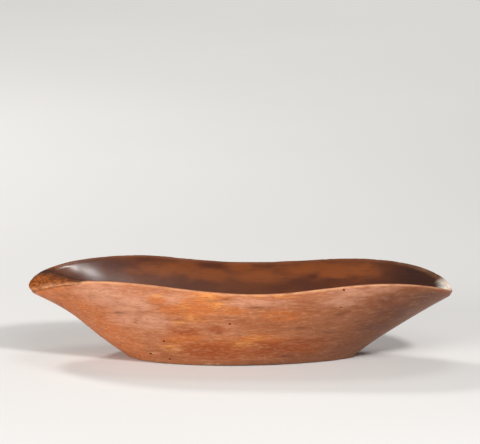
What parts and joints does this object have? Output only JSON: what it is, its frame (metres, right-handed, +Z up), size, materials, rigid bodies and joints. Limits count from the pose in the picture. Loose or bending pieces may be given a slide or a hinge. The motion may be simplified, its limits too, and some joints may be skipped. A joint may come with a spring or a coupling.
{
  "type": "wooden dugout bowl",
  "caption": "Long boat-shaped wooden bowl carved from one piece, with a flat foot, a dipped rim and pointed tips.",
  "frame": {"origin": "on the ground, below the middle of the bowl's length and width", "axes": "+X along the bowl to the pointed right tip, +Z up, front side at negative Y"},
  "size_m": [0.558, 0.197, 0.115],
  "materials": {
    "wood": "old red-brown hardwood, worn and waxed, with tool marks, worm holes and a rubbed rim"
  },
  "bodies": {
    "root": {"bowl": "wood"}
  },
  "joints": []
}
